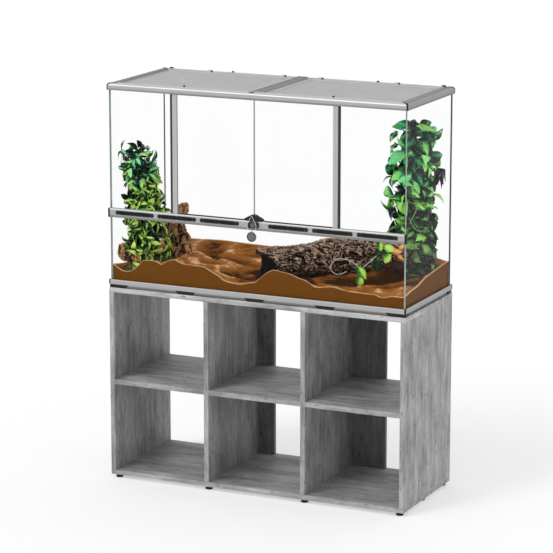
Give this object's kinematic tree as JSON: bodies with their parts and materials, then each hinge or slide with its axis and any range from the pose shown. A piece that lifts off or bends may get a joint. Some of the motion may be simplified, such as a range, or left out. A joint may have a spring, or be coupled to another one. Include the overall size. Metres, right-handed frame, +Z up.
{
  "type": "terrarium cabinet",
  "caption": "Glass terrarium with hinged front doors, ventilation bar and mesh lid, planted and filled with sand, on an open shelf cabinet with a concrete look.",
  "frame": {"origin": "on the floor, in the middle of the whole outline", "axes": "+X to the right seen from the front, +Y from the doors to the back, +Z up"},
  "size_m": [1.182, 0.466, 1.4947],
  "materials": {
    "concrete_board": "matt decor foil with a cast-concrete look on chipboard",
    "glide_plastic": "black moulded",
    "dowel_wood": "plain beech",
    "screw_steel": "zinc plated",
    "pad_rubber": "matt black",
    "aluminium": "silver anodised",
    "corner_plastic": "black moulded",
    "clear_glass": "clear float glass with ground edges",
    "silicone": "grey-green silicone",
    "seal_rubber": "dark extruded seal",
    "grille_plastic": "black moulded",
    "pin_steel": "turned",
    "pull_plastic": "black moulded, slight sheen",
    "lock_plastic": "black moulded",
    "lock_metal": "nickel plated",
    "loop_wire": "bright wire",
    "fob_metal": "dark grey satin",
    "crossbar_aluminium": "grey anodised",
    "clip_plastic": "black moulded",
    "mesh_metal": "fine woven mesh in a light frame",
    "knob_plastic": "black moulded",
    "sand": "loose reddish-brown sand",
    "cork": "rough natural bark",
    "log_wood": "rough weathered bark",
    "foliage_left": "glossy green leaves",
    "foliage_right": "glossy green leaves"
  },
  "bodies": {
    "cabinet_and_tank": {"bottom_panel": "concrete_board", "top_panel": "concrete_board", "side_panel_left": "concrete_board", "side_panel_right": "concrete_board", "divider_left": "concrete_board", "divider_right": "concrete_board", "shelf_left": "concrete_board", "shelf_middle": "concrete_board", "shelf_right": "concrete_board", "back_board_left": "concrete_board", "back_board_right": "concrete_board", "furniture_glides": "glide_plastic", "panel_dowels": "dowel_wood", "panel_screws": "screw_steel", "tank_pads": "pad_rubber", "base_rail_front": "aluminium", "base_rail_back": "aluminium", "base_rail_left": "aluminium", "base_rail_right": "aluminium", "base_corner_plates": "corner_plastic", "floor_pane": "clear_glass", "back_pane": "clear_glass", "side_pane_left": "clear_glass", "side_pane_right": "clear_glass", "front_pane_lower": "clear_glass", "front_pane_left": "clear_glass", "front_pane_right": "clear_glass", "silicone_seams": "silicone", "pane_edge_seals": "seal_rubber", "vent_bar": "aluminium", "vent_bar_caps": "corner_plastic", "vent_grilles": "grille_plastic", "door_hinge_pins": "pin_steel", "lock_housing": "lock_plastic", "lid_rail_front": "aluminium", "lid_rail_back": "aluminium", "lid_rail_left": "aluminium", "lid_rail_right": "aluminium", "lid_corner_plates": "corner_plastic", "lid_crossbar": "crossbar_aluminium", "mesh_hinge_clips": "clip_plastic", "ground": "sand", "cork_bark": "cork", "hollow_log": "log_wood", "plant_left": "foliage_left", "plant_right": "foliage_right"},
    "door_left": {"door_pane_left": "clear_glass", "hinge_section_left": "aluminium", "door_pull_left": "pull_plastic"},
    "door_right": {"door_pane_right": "clear_glass", "hinge_section_right": "aluminium", "door_pull_right": "pull_plastic"},
    "mesh_left": {"mesh_panel_left": "mesh_metal", "mesh_knob_left": "knob_plastic"},
    "mesh_right": {"mesh_panel_right": "mesh_metal", "mesh_knob_right": "knob_plastic"},
    "lock_barrel": {"lock_barrel": "lock_metal"},
    "lock_bolt": {"lock_bolt": "lock_metal"},
    "key_loop": {"key_loop": "loop_wire"},
    "key_fob": {"key_fob": "fob_metal"}
  },
  "joints": [
    {"name": "door_left_hinge", "type": "hinge", "parent": "cabinet_and_tank", "child": "door_left", "pos_m": [-0.321, -0.21, 1.027], "axis": [0, 0, -1], "range_deg": [0, 110]},
    {"name": "door_right_hinge", "type": "hinge", "parent": "cabinet_and_tank", "child": "door_right", "pos_m": [0.321, -0.21, 1.027], "axis": [0, 0, 1], "range_deg": [0, 110]},
    {"name": "mesh_left_hinge", "type": "hinge", "parent": "cabinet_and_tank", "child": "mesh_left", "pos_m": [-0.228, 0.204, 1.492], "axis": [-1, 0, 0], "range_deg": [0, 100]},
    {"name": "mesh_right_hinge", "type": "hinge", "parent": "cabinet_and_tank", "child": "mesh_right", "pos_m": [0.228, 0.204, 1.492], "axis": [-1, 0, 0], "range_deg": [0, 100]},
    {"name": "lock_barrel_turn", "type": "hinge", "parent": "cabinet_and_tank", "child": "lock_barrel", "pos_m": [0, -0.225, 1.0135], "axis": [0, 1, 0], "range_deg": [-90, 0]},
    {"name": "lock_bolt_slide", "type": "slide", "parent": "cabinet_and_tank", "child": "lock_bolt", "axis": [0, 0, -1], "range_m": [-0.009, 0]},
    {"name": "key_loop_swing", "type": "hinge", "parent": "door_left", "child": "key_loop", "pos_m": [-0.003, -0.228, 1.044], "axis": [0, 1, 0], "range_deg": [-25, 25]},
    {"name": "key_fob_swing", "type": "hinge", "parent": "key_loop", "child": "key_fob", "pos_m": [-0.003, -0.228, 0.992], "axis": [-1, 0, 0], "range_deg": [-12, 60]}
  ],
  "couplings": [
    {"joint": "lock_bolt_slide", "follows": "lock_barrel_turn", "m_per_rad": 0.0057296}
  ]
}
